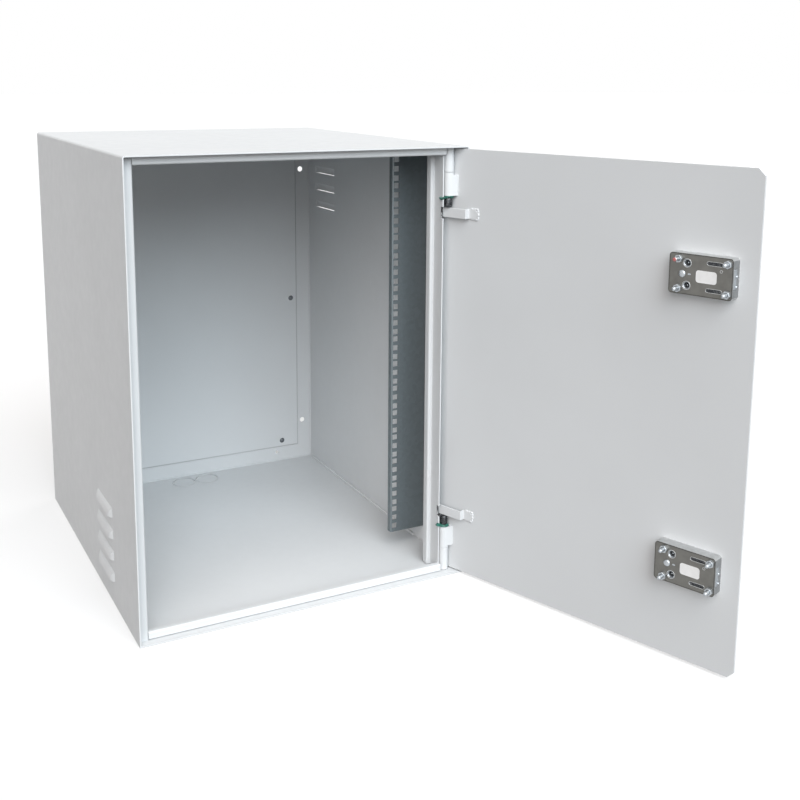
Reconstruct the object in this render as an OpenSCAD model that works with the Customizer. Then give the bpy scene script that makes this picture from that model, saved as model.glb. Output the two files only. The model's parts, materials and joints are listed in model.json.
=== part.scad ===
// Lockable steel rack cabinet for a wall or a floor, shown with its inset door swung open.
// Millimetres, +Z up, front towards -Y, origin under the middle of the body.

/* [Body] */
// Overall width of the body
body_w = 556; // [545:1:700]
// Overall depth of the body
body_d = 650; // [450:1:900]
// Overall height of the body
body_h = 728; // [728:1:1000]
// Thickness of the folded steel sheet
sheet_t = 2; // [1.5:0.1:2.5]
// Outer radius of the folds along the top edges
fold_r = 4; // [3.5:0.5:8]

/* [Front frame] */
// Depth of the door stops behind the front edges
recess = 14; // [12:0.5:20]
// Width of the left stop, from the wall
stop_w = 15; // [12:0.5:20]
// Depth of the hem along the inner edge of the left stop
stop_hem = 4; // [3.5:0.5:5]
// Outer radius of the bends in the stops, the jamb and the rails
bend_r = 3; // [2.6:0.1:3.4]
// Height of the top stop below the top sheet
top_stop_h = 12.5; // [10:0.5:20]
// Height of the sill stop above the floor
sill_h = 13; // [10:0.5:20]
// Depth of the returns on the top stop and the sill
stop_return = 10; // [6:0.5:20]
// Width of the jamb's face beside its fin
jamb_w = 9; // [6:0.5:25]
// Depth of the return on the jamb
jamb_return = 13; // [6:0.5:25]
// Clearance between the jamb and the swinging hinge edge
jamb_gap = 4; // [1:0.1:5]
// Distance of the fin on the jamb behind the hinge axis
fin_back = 4; // [3:0.5:12]

/* [Rear] */
// Width of the flanges folded inwards round the rear
rear_flange = 54; // [45:1:80]
// Visible width of the flanges outside the back panel
panel_margin = 30; // [25:1:34]
// Diameter of the wall fixing holes
wall_hole_d = 11; // [8:0.5:14]
// Distance of the wall fixing holes from the side faces
wall_hole_in = 22; // [15:0.5:23]
// Distance of the wall fixing holes from the top and bottom faces
wall_hole_up = 87; // [70:1:150]
// Diameter of the cable tie holes in the bottom flange
tie_hole_d = 7; // [5:0.5:9]
// Distance of the cable tie holes from the middle
tie_hole_x = 196; // [100:1:200]
// Distance of the panel screws from the panel's edges
screw_in = 15; // [12:0.5:16]
// Distance of the top and bottom panel screws from the panel's corners
screw_corner = 39; // [30:1:120]
// Diameter of the panel screws
screw_d = 6; // [4:0.5:6]
// Diameter of the panel screw heads
screw_head_d = 11; // [9:0.5:12]
// Height of the panel screw heads
screw_head_h = 3; // [2:0.5:5]

/* [Floor] */
// Diameter of the cable knockouts
knockout_d = 44; // [30:1:46]
// Distance between the two knockouts
knockout_pitch = 49; // [48:1:150]
// Distance of the knockout centres from the rear face
knockout_in = 36; // [30:1:120]
// Width of the slot round a knockout
knockout_slot = 1.2; // [0.8:0.1:2]
// Width of the bridges that hold a knockout
knockout_bridge = 4; // [2:0.5:6]

/* [Louvres] */
// Louvres in a group
louvre_n = 4; // [2:1:4]
// Length of a louvre
louvre_l = 100; // [60:1:140]
// Height of a louvre
louvre_h = 17; // [12:0.5:22]
// How far a louvre stands out from the wall
louvre_out = 6; // [4:0.5:8]
// Radius of a louvre's tapered ends, seen from above
louvre_end_r = 30; // [20:1:60]
// Distance between louvres
louvre_pitch = 36; // [28:0.5:40]
// Height of the lowest louvre in the left wall
louvre_low = 41; // [30:1:80]
// Depth of the left louvres behind the front edge, to their middle
louvre_front = 196; // [120:1:220]
// Depth of the highest right louvre below the top face
louvre_high = 56; // [50:1:90]
// Distance of the right louvres from the rear face, to their middle
louvre_rear = 86; // [75:1:150]

/* [Rails] */
// Height of the rails in rack units
rack_units = 15; // [4:1:15]
// Distance between the two columns of rack holes
rack_holes = 465.1; // [465.1:0.1:465.9]
// Offset of the rails from the middle of the body, away from the hinges
rail_offset = 16.5; // [14:0.5:17]
// Depth of the rails behind the front edge
rail_depth = 132; // [110:1:200]
// Height of the lowest rack unit above the base
rack_low = 39; // [30:1:45]
// Length of a rail past its rack units, at each end
rail_end = 5; // [2:0.5:8]
// Side of the square rack holes
rack_hole = 9.5; // [9:0.1:9.8]
// Distance of the rack holes from the inner edge of the rail
rail_edge = 8; // [7:0.5:9]
// Depth of the return along the inner edge of the rail
rail_lip = 11; // [10:0.5:25]
// Depth of the rail's flange along the wall
rail_flange = 26; // [22:0.5:40]
// Diameter of the welded studs that carry the rails
rail_stud_d = 6; // [5:0.5:8]
// Length of the welded rail studs
rail_stud_l = 13; // [11:0.5:16]
// Distance of the outer rail studs from the rail's ends
rail_stud_end = 60; // [20:1:80]
// Width of the rail nuts across flats
rail_nut_w = 10; // [9.5:0.5:13]
// Height of the rail nuts
rail_nut_h = 5; // [3:0.5:6]

/* [Door] */
// Thickness of the door plate
door_t = 3; // [2:0.5:4]
// Clearance round the edges of the closed door
door_gap = 2; // [1:0.1:4]
// Clearance between the wall and the swinging hinge edge
swing_gap = 1; // [0.5:0.1:2]
// Gap between the closed door and the stops
stop_gap = 1; // [0.5:0.1:3]
// Cut across the two free corners of the door
corner_cut = 10; // [2:0.5:20]
// Angle at which the door stands open
door_open = 109.5; // [0:0.5:110]
// Diameter of the keyholes
keyhole_d = 8; // [6:0.5:10]
// Width of the keyhole slots
keyhole_slot = 3; // [2:0.5:4]
// Length of a keyhole slot below its centre
keyhole_l = 10; // [7:0.5:12]

/* [Hinges] */
// Distance of the hinge axis from the side face
axis_in = 24.5; // [24:0.5:30]
// Outer diameter of the knuckles
knuckle_d = 16; // [14:0.5:18]
// Gap between the knuckles and the closed door
knuckle_gap = 1.5; // [1:0.1:4]
// Length of the knuckles on the frame
frame_knuckle_l = 40; // [25:1:60]
// Length of the knuckles on the door
door_knuckle_l = 38; // [25:1:60]
// Gap between the ends of the knuckles
knuckle_play = 0.4; // [0.3:0.1:1]
// Length of the leaf that welds a knuckle to the door
leaf_l = 12; // [10:0.5:24]
// Thickness of that leaf at its edge
leaf_t = 2.5; // [1.5:0.5:7]
// Height left free below that leaf
leaf_short = 4; // [1:0.5:6]
// Diameter of the hinge pins
pin_d = 8; // [6:0.5:10]
// Running clearance of the pins, on the radius
pin_clear = 0.05; // [0.03:0.01:0.1]
// Depth of the pins in the frame knuckles
pin_reach = 34; // [20:1:38]
// Diameter of the pin heads
head_d = 13; // [11:0.5:14]
// Diameter of a pin head's tip
head_tip_d = 9; // [6:0.5:10]
// Height of the pin heads
head_h = 15; // [10:0.5:20]
// Height of the taper at a pin head's tip
head_taper = 3; // [1:0.5:8]
// Gap between the collars under the pin heads and the door
collar_gap = 0.3; // [0.2:0.05:1]
// Diameter of a collar at its small end
collar_small_d = 15; // [14:0.5:16]
// Height of the collars
collar_h = 4; // [3:0.5:6]
// Gap between a pin head and its keeper
keeper_gap = 0.6; // [0.4:0.1:2]
// Height of the keeper strips
keeper_h = 16; // [10:0.5:20]
// Thickness of the keeper strips
keeper_t = 2; // [1.5:0.1:3]
// Length of a keeper past the hinge axis
keeper_past = 11.5; // [6:0.5:12]
// Length of a keeper from the hinge axis to its offset bend
keeper_l = 37; // [36:0.5:60]
// Length of a keeper's foot on the door
keeper_foot = 18; // [16:0.5:30]

/* [Locks] */
// Length of a lock case
lock_l = 94; // [80:1:110]
// Height of a lock case
lock_h = 57; // [52:1:70]
// Depth of a lock case
lock_d = 18; // [17.5:0.5:24]
// Thickness of a lock case's sheet
lock_t = 2; // [1:0.1:2]
// Corner radius of a lock case
lock_r = 5; // [3:0.5:8]
// Distance of the lock cases from the free edge of the door
lock_in = 28; // [24:0.5:34]
// Distance of the lock centres from the top and bottom faces
lock_up = 153; // [150:1:250]
// Height of a bolt
bolt_h = 28; // [16:1:30]
// Thickness of a bolt
bolt_t = 8; // [5:0.5:8]
// Length of a bolt
bolt_l = 52; // [45:1:60]
// Clearance of a bolt in its case
bolt_clear = 0.3; // [0.2:0.1:0.5]
// Gap between a bolt and the stop that it locks behind
bolt_gap = 2; // [0.5:0.5:2]
// Diameter of the welded studs that carry a lock
lock_stud_d = 6; // [4:0.5:6]
// Length of those studs past the lock case
lock_stud_out = 14; // [7:0.5:14]
// Distance of two of the studs from the hinge end of the case
lock_stud_x = 15; // [9:0.5:16]
// Distance of the other two studs from the free end of the case
lock_stud_free = 7; // [6.5:0.5:8]
// Distance of the studs from the top and bottom of the case
lock_stud_z = 8; // [6.5:0.5:8]
// Length of the two adjusting slots in a lock case
lock_slot_l = 23; // [10:1:24]
// Width of those slots
lock_slot_w = 5; // [3:0.5:6]
// Distance of their middles from the free end of the case
lock_slot_x = 26.5; // [25:0.5:32]
// Distance between the two slots
lock_slot_pitch = 37; // [30:0.5:40]
// Width of the lock nuts across flats
lock_nut_w = 10; // [8:0.5:10]
// Height of the lock nuts
lock_nut_h = 5; // [3:0.5:6]
// Diameter of the two service holes in a lock case
service_d = 11; // [6:0.5:12]
// Distance of the service holes from the hinge end of the case
service_x = 27; // [24:0.5:30]
// Distance between the two service holes
service_pitch = 31; // [24:0.5:32]

/* [Hidden] */
$fn = 48;

// How far a cut runs past the faces that it goes through
cut = 1;
// Fit of screws and studs in their holes, on the diameter
hole_fit = 0.4;
// Fit of nuts and collars on their studs and pins, on the diameter
thread_fit = 0.2;
// Height of one rack unit and the places of its three holes
rack_unit = 44.45;
rack_steps = [6.35, 22.225, 38.1];

// Faces that the pieces share
wall_x = body_w / 2 - sheet_t;
top_z = body_h - sheet_t;
front = -body_d / 2;
rear = body_d / 2;
stop_y = front + recess;
door_in = stop_y - stop_gap;
door_out = door_in - door_t;
free_edge_x = door_gap - wall_x;
door_low = sheet_t + door_gap;

// Hinge axis, and the hinge edge of the door that swings clear of the wall and the jamb
axis_x = body_w / 2 - axis_in;
axis_y = door_in + knuckle_gap + knuckle_d / 2;
swing_r = wall_x - axis_x - swing_gap;
hinge_edge_x = axis_x + sqrt(pow(swing_r, 2) - pow(axis_y - door_out, 2));
jamb_y = axis_y + swing_r + jamb_gap;
fin_y = axis_y + fin_back;

// Ends of the stops and the fin's face, just clear of the knuckles
stop_end_x = axis_x - knuckle_d / 2 - knuckle_gap;
jamb_x = stop_end_x - jamb_w;

// Heights of the lower hinge, from the floor up
frame_knuckle_top = sheet_t + frame_knuckle_l;
door_knuckle_low = frame_knuckle_top + knuckle_play;
door_knuckle_top = door_knuckle_low + door_knuckle_l;
collar_top = door_knuckle_top + collar_h;
collar_d = knuckle_d + 2 * (knuckle_gap - collar_gap);
keeper_low = collar_top + head_h + keeper_gap;

// Leaf of a door knuckle, from the hinge axis: its tip, and where its face runs into the barrel
leaf_sink = 0.1;
leaf_root_r = knuckle_d / 2 - leaf_sink;
leaf_foot = door_in - axis_y;
leaf_tip = [-leaf_l, leaf_foot + leaf_t];
leaf_turn = atan2(leaf_tip[1], leaf_tip[0]) - acos(leaf_root_r / norm(leaf_tip));

// Back panel and its screws
panel_y = rear - 2 * sheet_t;
panel_x = wall_x - panel_margin;
panel_low = sheet_t + panel_margin;
screw_spots = [
    for (sx = [-1, 1])
        for (p = [
            [panel_x - screw_corner, panel_low + screw_in],
            [panel_x - screw_in, body_h / 2],
            [panel_x - screw_corner, body_h - panel_low - screw_in]
        ])
            [sx * p[0], p[1]]
];

// Rails
rail_y = front + rail_depth;
rail_low = rack_low - rail_end;
rail_h = rack_units * rack_unit + 2 * rail_end;
rail_stud_y = rail_y + rail_flange / 2 + bend_r / 2;
rail_stud_heights = [rail_low + rail_stud_end, rail_low + rail_h / 2, rail_low + rail_h - rail_stud_end];

// Lower lock, in the closed door
lock_x0 = free_edge_x + lock_in;
lock_x1 = lock_x0 + lock_l;
lock_out = door_in + lock_d;
bolt_y = stop_y + stop_hem + bolt_gap;
lock_stud_spots = [
    for (x = [lock_x0 + lock_stud_free, lock_x1 - lock_stud_x])
        for (sz = [-1, 1])
            [x, lock_up + sz * (lock_h / 2 - lock_stud_z)]
];

// Louvre hoods, rooted in the middle of the wall's thickness
louvre_reach = louvre_out + sheet_t / 2;
louvre_r = (louvre_reach * louvre_reach + louvre_h * louvre_h) / (2 * louvre_reach);

// Plan of a louvre, just outside its hood so that only its tapered ends cut the hood
louvre_plan = louvre_reach + cut / 2;
louvre_straight = louvre_l - 2 * louvre_taper(0);

// Colours
grey_coat = [0.86, 0.87, 0.87];
zinc = [0.63, 0.66, 0.68];
lock_zinc = [0.55, 0.56, 0.55];
dark_steel = [0.22, 0.23, 0.24];
green_plastic = [0.10, 0.45, 0.36];

// A flat shape drawn in X and Z, standing from y0 towards the rear
module upright(y0, t) {
    translate([0, y0 + t, 0])
        rotate([90, 0, 0])
            linear_extrude(t)
                children();
}

// A flat shape drawn in Y and Z, run along X
module along_x(x0, x1) {
    translate([x0, 0, 0])
        rotate([90, 0, 90])
            linear_extrude(x1 - x0)
                children();
}

// A round bar or hole along Y
module round_y(x, y0, z, d, l) {
    translate([x, y0, z])
        rotate([-90, 0, 0])
            cylinder(d = d, h = l);
}

// A rectangle with its two top corners rounded
module round_top(w, h, r) {
    translate([-w / 2, 0])
        square([w, h - r]);
    translate([r - w / 2, 0])
        square([w - 2 * r, h]);
    for (sx = [-1, 1])
        translate([sx * (w / 2 - r), h - r])
            circle(r);
}

// A rectangle with all its corners rounded
module round_box(w, h, r) {
    translate([r, 0])
        square([w - 2 * r, h]);
    translate([0, r])
        square([w, h - 2 * r]);
    for (x = [r, w - r])
        for (y = [r, h - r])
            translate([x, y])
                circle(r);
}

// An angle with a rounded bend at the origin and its legs along +X and +Y
module bent_angle(a, b, t, r) {
    translate([r, 0])
        square([a - r, t]);
    translate([0, r])
        square([t, b - r]);
    intersection() {
        square(r);
        translate([r, r])
            difference() {
                circle(r);
                circle(r - t);
            }
    }
}

// Turns what is drawn in the closed door to where the door stands
module on_door() {
    translate([axis_x, axis_y, 0])
        rotate([0, 0, door_open])
            translate([-axis_x, -axis_y, 0])
                children();
}

// Puts a piece of the lower hinge or lock at the top of the door
module at_top() {
    translate([0, 0, body_h])
        mirror([0, 0, 1])
            children();
}

// Length of a louvre's tapered end at its root, for its outer face or one further in
function louvre_taper(inset) = sqrt(pow(louvre_end_r - inset, 2) - pow(louvre_end_r - louvre_plan, 2));

// A louvre's outside, or its hollow when inset by the sheet, from below its open edge
module hood_body(inset, below) {
    run = louvre_l + 2 * cut;
    intersection() {
        translate([0, run / 2, 0])
            rotate([90, 0, 0])
                linear_extrude(run)
                    intersection() {
                        translate([-below, -below])
                            square([louvre_plan + below, louvre_h + below]);
                        translate([louvre_reach - louvre_r, 0])
                            circle(louvre_r - inset, $fn = 96);
                    }
        translate([0, 0, -cut])
            linear_extrude(louvre_h + 2 * cut)
                intersection() {
                    translate([-below, -run / 2])
                        square([louvre_plan + below, run]);
                    union() {
                        translate([-below, -louvre_straight / 2])
                            square([louvre_plan + below - inset, louvre_straight]);
                        for (side = [-1, 1])
                            translate([louvre_plan - louvre_end_r, side * louvre_straight / 2])
                                circle(louvre_end_r - inset, $fn = 96);
                    }
                }
    }
}

// A louvre pressed out along +X from the middle of the wall, with tapered ends and its lower edge open
module louvre_hood() {
    translate([-sheet_t / 2, 0, 0])
        difference() {
            hood_body(0, 0);
            hood_body(sheet_t, cut / 2);
        }
}

// The opening in the wall behind a louvre
module louvre_slot() {
    inner_h = sqrt(pow(louvre_r - sheet_t, 2) - pow(louvre_r - louvre_reach, 2));
    inner_l = louvre_straight + 2 * louvre_taper(sheet_t);
    translate([-sheet_t - cut, -inner_l / 2, 0])
        cube([sheet_t + 2 * cut, inner_l, inner_h]);
}

// Places the left louvres, low at the front
module left_louvres() {
    for (i = [0:louvre_n - 1])
        translate([-body_w / 2, front + louvre_front, louvre_low + i * louvre_pitch])
            mirror([1, 0, 0])
                children();
}

// Places the right louvres, high at the rear
module right_louvres() {
    for (i = [0:louvre_n - 1])
        translate([body_w / 2, rear - louvre_rear, body_h - louvre_high - i * louvre_pitch])
            children();
}

// One rear flange, mitred at both ends, along an edge of the given length
module mitred_flange(l) {
    polygon([[-l / 2, 0], [l / 2, 0], [l / 2 - rear_flange, rear_flange], [rear_flange - l / 2, rear_flange]]);
}

module wall_holes() {
    for (sx = [-1, 1])
        for (z = [wall_hole_up, body_h - wall_hole_up])
            round_y(sx * (body_w / 2 - wall_hole_in), panel_y - cut, z, wall_hole_d, 2 * sheet_t + 2 * cut);
}

module screw_holes() {
    for (p = screw_spots)
        round_y(p[0], panel_y - cut, p[1], screw_d + hole_fit, 2 * sheet_t + 2 * cut);
}

// Left wall, top and right wall, folded from one sheet with the rear flanges
module wrapper() {
    inner_h = top_z - sheet_t;
    color(grey_coat) {
        difference() {
            upright(front, body_d)
                difference() {
                    round_top(body_w, body_h, fold_r);
                    translate([0, -cut])
                        round_top(body_w - 2 * sheet_t, top_z + cut, fold_r - sheet_t);
                }
            left_louvres()
                louvre_slot();
            right_louvres()
                louvre_slot();
        }
        left_louvres()
            louvre_hood();
        right_louvres()
            louvre_hood();
        difference() {
            upright(rear - sheet_t, sheet_t) {
                translate([0, top_z])
                    mirror([0, 1])
                        mitred_flange(2 * wall_x);
                for (side = [0, 1])
                    mirror([side, 0])
                        translate([wall_x, sheet_t + inner_h / 2])
                            rotate(90)
                                mitred_flange(inner_h);
            }
            wall_holes();
            screw_holes();
        }
    }
}

// The slot round one knockout, left joined at three bridges
module knockout_ring() {
    difference() {
        circle(d = knockout_d);
        circle(d = knockout_d - 2 * knockout_slot);
        for (a = [90, 210, 330])
            rotate(a)
                translate([0, -knockout_bridge / 2])
                    square([knockout_d, knockout_bridge]);
    }
}

// Floor with its rear flange and two cable knockouts
module floor_sheet() {
    color(grey_coat)
        difference() {
            union() {
                translate([-wall_x, front, 0])
                    cube([2 * wall_x, body_d, sheet_t]);
                upright(rear - sheet_t, sheet_t)
                    translate([0, sheet_t])
                        mitred_flange(2 * wall_x);
            }
            for (sx = [-1, 1])
                translate([sx * knockout_pitch / 2, rear - knockout_in, -cut])
                    linear_extrude(sheet_t + 2 * cut)
                        knockout_ring();
            for (sx = [-1, 1])
                round_y(sx * tie_hole_x, panel_y, (sheet_t + panel_low) / 2 + sheet_t * 2, tie_hole_d, 3 * sheet_t);
            screw_holes();
        }
}

// Upright stop that the door's free edge shuts against
module left_stop() {
    color(grey_coat)
        translate([stop_w - wall_x, stop_y, sheet_t])
            linear_extrude(body_h - fold_r - sheet_t)
                mirror([1, 0])
                    bent_angle(stop_w, stop_hem, sheet_t, bend_r);
}

module top_stop() {
    color(grey_coat)
        along_x(stop_w - wall_x, stop_end_x)
            translate([stop_y, top_z - top_stop_h])
                bent_angle_yz(top_stop_h);
}

module sill_stop() {
    color(grey_coat)
        along_x(stop_w - wall_x, stop_end_x)
            translate([stop_y, sheet_t + sill_h])
                mirror([0, 1])
                    bent_angle_yz(sill_h);
}

// Section of the top stop and the sill: a face of the given height and a return
module bent_angle_yz(h) {
    bent_angle(stop_return, h, sheet_t, bend_r);
}

// Jamb behind the hinges, set back to clear the door's hinge edge, with a fin that hides that pocket
module hinge_jamb() {
    color(grey_coat)
        translate([jamb_x, jamb_y, sheet_t])
            linear_extrude(body_h - fold_r - sheet_t) {
                bent_angle(wall_x - jamb_x, jamb_return, sheet_t, bend_r);
                translate([jamb_w - sheet_t, fin_y - jamb_y])
                    square([sheet_t, jamb_y - fin_y + sheet_t]);
            }
}

module back_panel() {
    color(grey_coat)
        difference() {
            translate([-panel_x, panel_y, panel_low])
                cube([2 * panel_x, sheet_t, body_h - 2 * panel_low]);
            screw_holes();
        }
}

// Dome-headed screws through the panel into the flanges
module back_panel_screws() {
    dome_r = (screw_head_d * screw_head_d / 4 + screw_head_h * screw_head_h) / (2 * screw_head_h);
    color(zinc)
        for (p = screw_spots) {
            round_y(p[0], panel_y, p[1], screw_d, 2 * sheet_t);
            translate([p[0], panel_y, p[1]])
                rotate([90, 0, 0])
                    intersection() {
                        cylinder(d = screw_head_d, h = screw_head_h);
                        translate([0, 0, screw_head_h - dome_r])
                            sphere(dome_r);
                    }
        }
}

// A rack rail on the side given by 1 for right and -1 for left
module rail(side) {
    hole_x = side * rack_holes / 2 - rail_offset;
    edge_x = hole_x - side * rail_edge;
    width = wall_x - side * edge_x;
    color(zinc)
        difference() {
            translate([edge_x, rail_y, rail_low])
                linear_extrude(rail_h)
                    mirror([side < 0 ? 1 : 0, 0]) {
                        bent_angle(width / 2 + cut, rail_lip, sheet_t, bend_r);
                        translate([width, 0])
                            mirror([1, 0])
                                bent_angle(width / 2 + cut, rail_flange, sheet_t, bend_r);
                    }
            for (u = [0:rack_units - 1])
                for (step = rack_steps)
                    translate([hole_x, rail_y, rack_low + u * rack_unit + step])
                        cube([rack_hole, 4 * sheet_t, rack_hole], center = true);
            for (z = rail_stud_heights)
                translate([side * (wall_x + cut), rail_stud_y, z])
                    rotate([0, -side * 90, 0])
                        cylinder(d = rail_stud_d + hole_fit, h = sheet_t + 2 * cut);
        }
}

module left_rail() {
    rail(-1);
}

module right_rail() {
    rail(1);
}

// Studs welded to the inside of the walls
module rail_studs() {
    color(zinc)
        for (side = [-1, 1])
            for (z = rail_stud_heights)
                translate([side * wall_x, rail_stud_y, z])
                    rotate([0, -side * 90, 0])
                        cylinder(d = rail_stud_d, h = rail_stud_l);
}

// A six-sided nut standing on the XY plane
module hex_nut(w, h, bore) {
    difference() {
        cylinder(d = w / cos(30), h = h, $fn = 6);
        translate([0, 0, -cut])
            cylinder(d = bore, h = h + 2 * cut);
    }
}

module rail_nuts() {
    color(zinc)
        for (side = [-1, 1])
            for (z = rail_stud_heights)
                translate([side * (wall_x - sheet_t), rail_stud_y, z])
                    rotate([0, -side * 90, 0])
                        hex_nut(rail_nut_w, rail_nut_h, rail_stud_d + thread_fit);
}

module pin_bore(z, l) {
    translate([axis_x, axis_y, z - cut])
        cylinder(r = pin_d / 2 + pin_clear, h = l + 2 * cut);
}

// Fixed knuckle of the lower hinge, welded to the floor
module frame_knuckle() {
    color(grey_coat)
        difference() {
            translate([axis_x, axis_y, sheet_t])
                cylinder(d = knuckle_d, h = frame_knuckle_l);
            pin_bore(sheet_t, frame_knuckle_l);
        }
}

module lower_frame_knuckle() {
    frame_knuckle();
}

module upper_frame_knuckle() {
    at_top()
        frame_knuckle();
}

// A keyhole through the door, in line with a lock's service holes
module keyhole() {
    round_y(lock_x1 - service_x, door_out - cut, 0, keyhole_d, door_t + 2 * cut);
    translate([lock_x1 - service_x - keyhole_slot / 2, door_out - cut, -keyhole_l])
        cube([keyhole_slot, door_t + 2 * cut, keyhole_l]);
}

// Plain door plate with its free corners cut off
module door_leaf() {
    high = body_h - door_low;
    color(grey_coat)
        on_door()
            difference() {
                upright(door_out, door_t)
                    polygon([
                        [hinge_edge_x, door_low],
                        [hinge_edge_x, high],
                        [free_edge_x + corner_cut, high],
                        [free_edge_x, high - corner_cut],
                        [free_edge_x, door_low + corner_cut],
                        [free_edge_x + corner_cut, door_low]
                    ]);
                for (z = [lock_up, body_h - lock_up])
                    translate([0, 0, z])
                        keyhole();
            }
}

// Moving knuckle of the lower hinge, with the leaf that welds it to the door
module door_knuckle() {
    color(grey_coat)
        difference() {
            union() {
                translate([axis_x, axis_y, door_knuckle_low])
                    cylinder(d = knuckle_d, h = door_knuckle_l);
                translate([axis_x, axis_y, door_knuckle_low + leaf_short])
                    linear_extrude(door_knuckle_l - leaf_short)
                        polygon([
                            [0, leaf_foot],
                            [-leaf_l, leaf_foot],
                            leaf_tip,
                            leaf_root_r * [cos(leaf_turn), sin(leaf_turn)],
                            [0, 0]
                        ]);
            }
            pin_bore(door_knuckle_low, door_knuckle_l);
        }
}

module lower_door_knuckle() {
    on_door()
        door_knuckle();
}

module upper_door_knuckle() {
    at_top()
        on_door()
            door_knuckle();
}

// Loose pin of the lower hinge, put in from above
module hinge_pin() {
    pin_low = frame_knuckle_top - pin_reach;
    color(dark_steel)
        translate([axis_x, axis_y, 0]) {
            translate([0, 0, pin_low])
                cylinder(d = pin_d, h = collar_top - pin_low);
            translate([0, 0, collar_top])
                cylinder(d = head_d, h = head_h - head_taper);
            translate([0, 0, collar_top + head_h - head_taper])
                cylinder(d1 = head_d, d2 = head_tip_d, h = head_taper);
        }
}

module lower_hinge_pin() {
    on_door()
        hinge_pin();
}

module upper_hinge_pin() {
    at_top()
        on_door()
            hinge_pin();
}

// Plastic collar between a knuckle and a pin head
module pin_collar() {
    color(green_plastic)
        translate([axis_x, axis_y, door_knuckle_top])
            difference() {
                union() {
                    cylinder(d = collar_d, h = collar_h / 2);
                    translate([0, 0, collar_h / 2])
                        cylinder(d1 = collar_d, d2 = collar_small_d, h = collar_h / 2);
                }
                translate([0, 0, -cut])
                    cylinder(d = pin_d + thread_fit, h = collar_h + 2 * cut);
            }
}

module lower_pin_collar() {
    on_door()
        pin_collar();
}

module upper_pin_collar() {
    at_top()
        on_door()
            pin_collar();
}

// Bent strip welded to the door that stops a pin from working out
module pin_keeper() {
    strip_y = axis_y - keeper_t / 2;
    foot_end = keeper_l + keeper_foot;
    color(grey_coat)
        translate([axis_x, 0, keeper_low]) {
            translate([-keeper_l, strip_y, 0])
                cube([keeper_l + keeper_past, keeper_t, keeper_h]);
            translate([-keeper_l, door_in, 0])
                cube([keeper_t, strip_y - door_in + keeper_t, keeper_h]);
            translate([keeper_h / 2 - foot_end, door_in, 0])
                cube([keeper_foot - keeper_h / 2 + keeper_t, keeper_t, keeper_h]);
            translate([keeper_h / 2 - foot_end, door_in, keeper_h / 2])
                rotate([-90, 0, 0])
                    cylinder(d = keeper_h, h = keeper_t);
        }
}

module lower_pin_keeper() {
    on_door()
        pin_keeper();
}

module upper_pin_keeper() {
    at_top()
        on_door()
            pin_keeper();
}

// Case of the lower lock, open towards the door
module lock_case() {
    low = lock_up - lock_h / 2;
    color(lock_zinc)
        difference() {
            translate([lock_x0, 0, low])
                upright(door_in, lock_d)
                    round_box(lock_l, lock_h, lock_r);
            translate([lock_x0 + lock_t, 0, low + lock_t])
                upright(door_in - cut, lock_d - lock_t + cut)
                    round_box(lock_l - 2 * lock_t, lock_h - 2 * lock_t, lock_r - lock_t);
            translate([lock_x0 - cut, bolt_y - bolt_clear, lock_up - bolt_h / 2 - bolt_clear])
                cube([lock_t + 2 * cut, bolt_t + 2 * bolt_clear, bolt_h + 2 * bolt_clear]);
            for (p = lock_stud_spots)
                round_y(p[0], door_in, p[1], lock_stud_d + hole_fit, lock_d + cut);
            for (sz = [-1, 1]) {
                lock_slot(lock_up + sz * lock_slot_pitch / 2);
                round_y(lock_x1 - service_x, door_in, lock_up + sz * service_pitch / 2, service_d, lock_d + cut);
            }
        }
}

// A round-ended slot through the face of a lock case
module lock_slot(z) {
    straight = lock_slot_l - lock_slot_w;
    x0 = lock_x0 + lock_slot_x - straight / 2;
    for (x = [x0, x0 + straight])
        round_y(x, door_in, z, lock_slot_w, lock_d + cut);
    translate([x0, door_in, z - lock_slot_w / 2])
        cube([straight, lock_d + cut, lock_slot_w]);
}

module lower_lock_case() {
    on_door()
        lock_case();
}

module upper_lock_case() {
    at_top()
        on_door()
            lock_case();
}

// Studs welded to the door that carry the lower lock
module lock_studs() {
    color(zinc)
        for (p = lock_stud_spots)
            round_y(p[0], door_in, p[1], lock_stud_d, lock_d + lock_stud_out);
}

module lower_lock_studs() {
    on_door()
        lock_studs();
}

module upper_lock_studs() {
    at_top()
        on_door()
            lock_studs();
}

module lock_nuts() {
    color(zinc)
        for (p = lock_stud_spots)
            translate([p[0], lock_out, p[1]])
                rotate([-90, 0, 0])
                    hex_nut(lock_nut_w, lock_nut_h, lock_stud_d + thread_fit);
}

module lower_lock_nuts() {
    on_door()
        lock_nuts();
}

module upper_lock_nuts() {
    at_top()
        on_door()
            lock_nuts();
}

// Bolt of the lower lock, drawn back flush with its case
module lock_bolt() {
    color(zinc)
        translate([lock_x0, bolt_y, lock_up - bolt_h / 2])
            cube([bolt_l, bolt_t, bolt_h]);
}

module lower_lock_bolt() {
    on_door()
        lock_bolt();
}

module upper_lock_bolt() {
    at_top()
        on_door()
            lock_bolt();
}

wrapper();
floor_sheet();
left_stop();
top_stop();
sill_stop();
hinge_jamb();
back_panel();
back_panel_screws();
left_rail();
right_rail();
rail_studs();
rail_nuts();
upper_frame_knuckle();
lower_frame_knuckle();
door_leaf();
upper_door_knuckle();
lower_door_knuckle();
upper_hinge_pin();
lower_hinge_pin();
upper_pin_collar();
lower_pin_collar();
upper_pin_keeper();
lower_pin_keeper();
upper_lock_case();
lower_lock_case();
upper_lock_studs();
lower_lock_studs();
upper_lock_nuts();
lower_lock_nuts();
upper_lock_bolt();
lower_lock_bolt();
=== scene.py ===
import json
import math

import bmesh
import bpy
from mathutils import Matrix, Vector

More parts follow.
